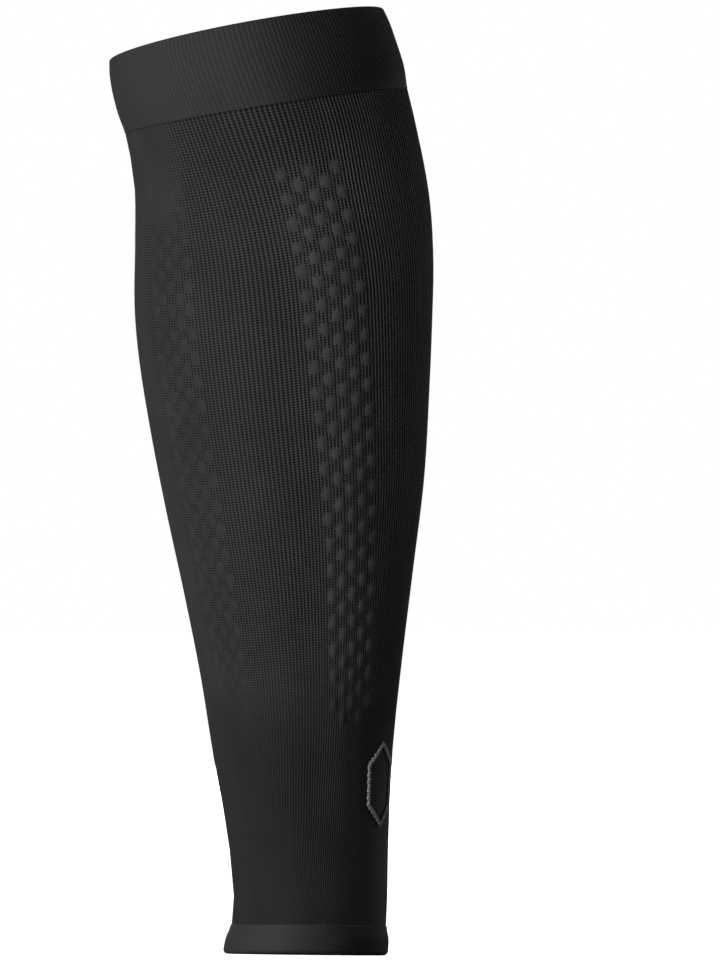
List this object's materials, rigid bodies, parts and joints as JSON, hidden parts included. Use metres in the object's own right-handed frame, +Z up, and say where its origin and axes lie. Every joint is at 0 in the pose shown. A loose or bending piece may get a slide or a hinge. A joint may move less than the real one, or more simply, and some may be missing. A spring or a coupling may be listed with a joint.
{
  "type": "calf compression sleeve",
  "caption": "Seamless knitted sleeve that squeezes the calf from below the knee to the ankle, shown in its worn form, with raised massage dots beside the shin.",
  "frame": {"origin": "on the leg's axis at the fullest line of the calf, the middle of the sleeve's widest ring", "axes": "+Z up the leg toward the knee, -Y toward the shin, +X toward the outer side of the left leg"},
  "size_m": [0.1256, 0.118, 0.3663],
  "materials": {
    "knit_black": "ribbed nylon knit with rows of small holes",
    "welt_black": "plain fine-ribbed nylon knit",
    "stripe_grey": "stitched padded knit",
    "mark_grey": "knitted-in outline",
    "lozenge_red": "knitted-in colour",
    "lozenge_dark": "knitted-in colour"
  },
  "bodies": {
    "root": {"knit_body": "knit_black", "top_welt": "welt_black", "ankle_hem": "welt_black", "tendon_stripe_1": "stripe_grey", "tendon_stripe_2": "stripe_grey", "tendon_stripe_3": "stripe_grey", "tendon_stripe_4": "stripe_grey", "tendon_stripe_5": "stripe_grey", "ankle_mark": "mark_grey", "calf_lozenge_1": "lozenge_red", "calf_lozenge_2": "lozenge_red", "calf_lozenge_3": "lozenge_red", "calf_lozenge_4": "lozenge_red", "calf_lozenge_5": "lozenge_red", "calf_lozenge_6": "lozenge_dark", "calf_lozenge_7": "lozenge_dark", "calf_lozenge_8": "lozenge_dark", "calf_lozenge_9": "lozenge_dark", "calf_lozenge_10": "lozenge_dark"}
  },
  "joints": []
}
